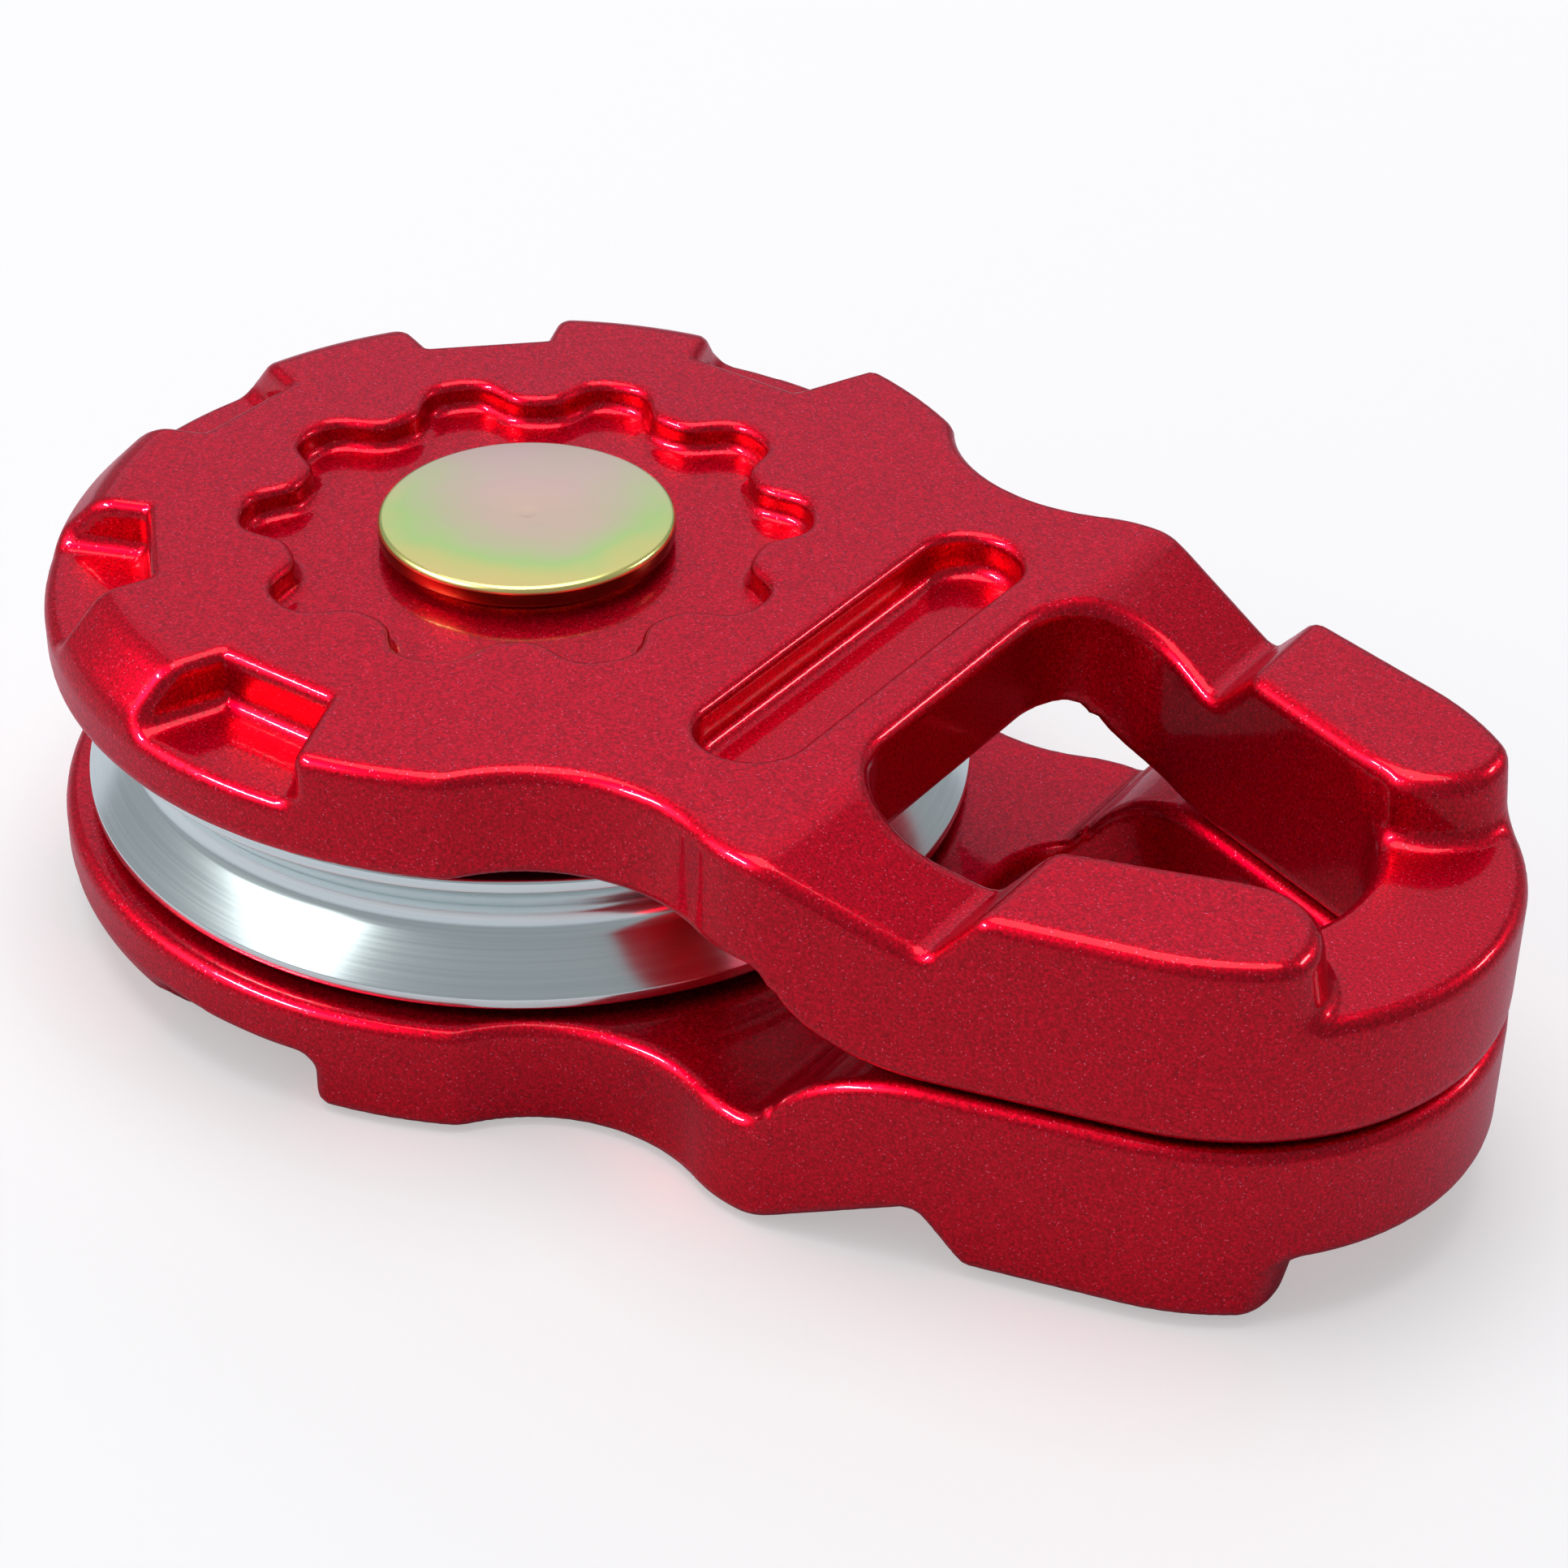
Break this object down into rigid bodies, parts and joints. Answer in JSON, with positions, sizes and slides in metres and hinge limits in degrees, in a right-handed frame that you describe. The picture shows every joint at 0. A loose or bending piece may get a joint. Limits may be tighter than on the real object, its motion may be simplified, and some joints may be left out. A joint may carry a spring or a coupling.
{
  "type": "snatch block",
  "caption": "Snatch block: cast cheek plates swing open round a flush pin over a grooved rope sheave, and a shackle eye passes through their noses",
  "frame": {"origin": "centre of the axle pin's flat foot, flush with the lower cheek plate's outer face", "axes": "+Z runs along the axle pin to its head, +X points from the pin to the shackle end, +Y completes the right-handed frame"},
  "size_m": [0.1851, 0.1144, 0.0481],
  "materials": {
    "red_coat": "translucent candy red coat over cast steel",
    "turned_steel": "satin turned steel",
    "bearing_bronze": "plain bearing bronze",
    "yellow_zinc": "yellow zinc plating"
  },
  "bodies": {
    "lower_cheek": {"lower_cheek_plate": "red_coat", "axle_pin": "yellow_zinc", "foot_washer": "yellow_zinc", "lower_thrust_washer": "bearing_bronze", "upper_thrust_washer": "bearing_bronze"},
    "upper_cheek": {"upper_cheek_plate": "red_coat"},
    "sheave_wheel": {"sheave": "turned_steel", "sheave_bush": "bearing_bronze"}
  },
  "joints": [
    {"name": "cheek_swing", "type": "hinge", "parent": "lower_cheek", "child": "upper_cheek", "pos_m": [0, 0, 0.04], "axis": [0, 0, 1], "continuous": true},
    {"name": "sheave_spin", "type": "hinge", "parent": "lower_cheek", "child": "sheave_wheel", "pos_m": [0, 0, 0.02405], "axis": [0, 0, 1], "continuous": true}
  ]
}
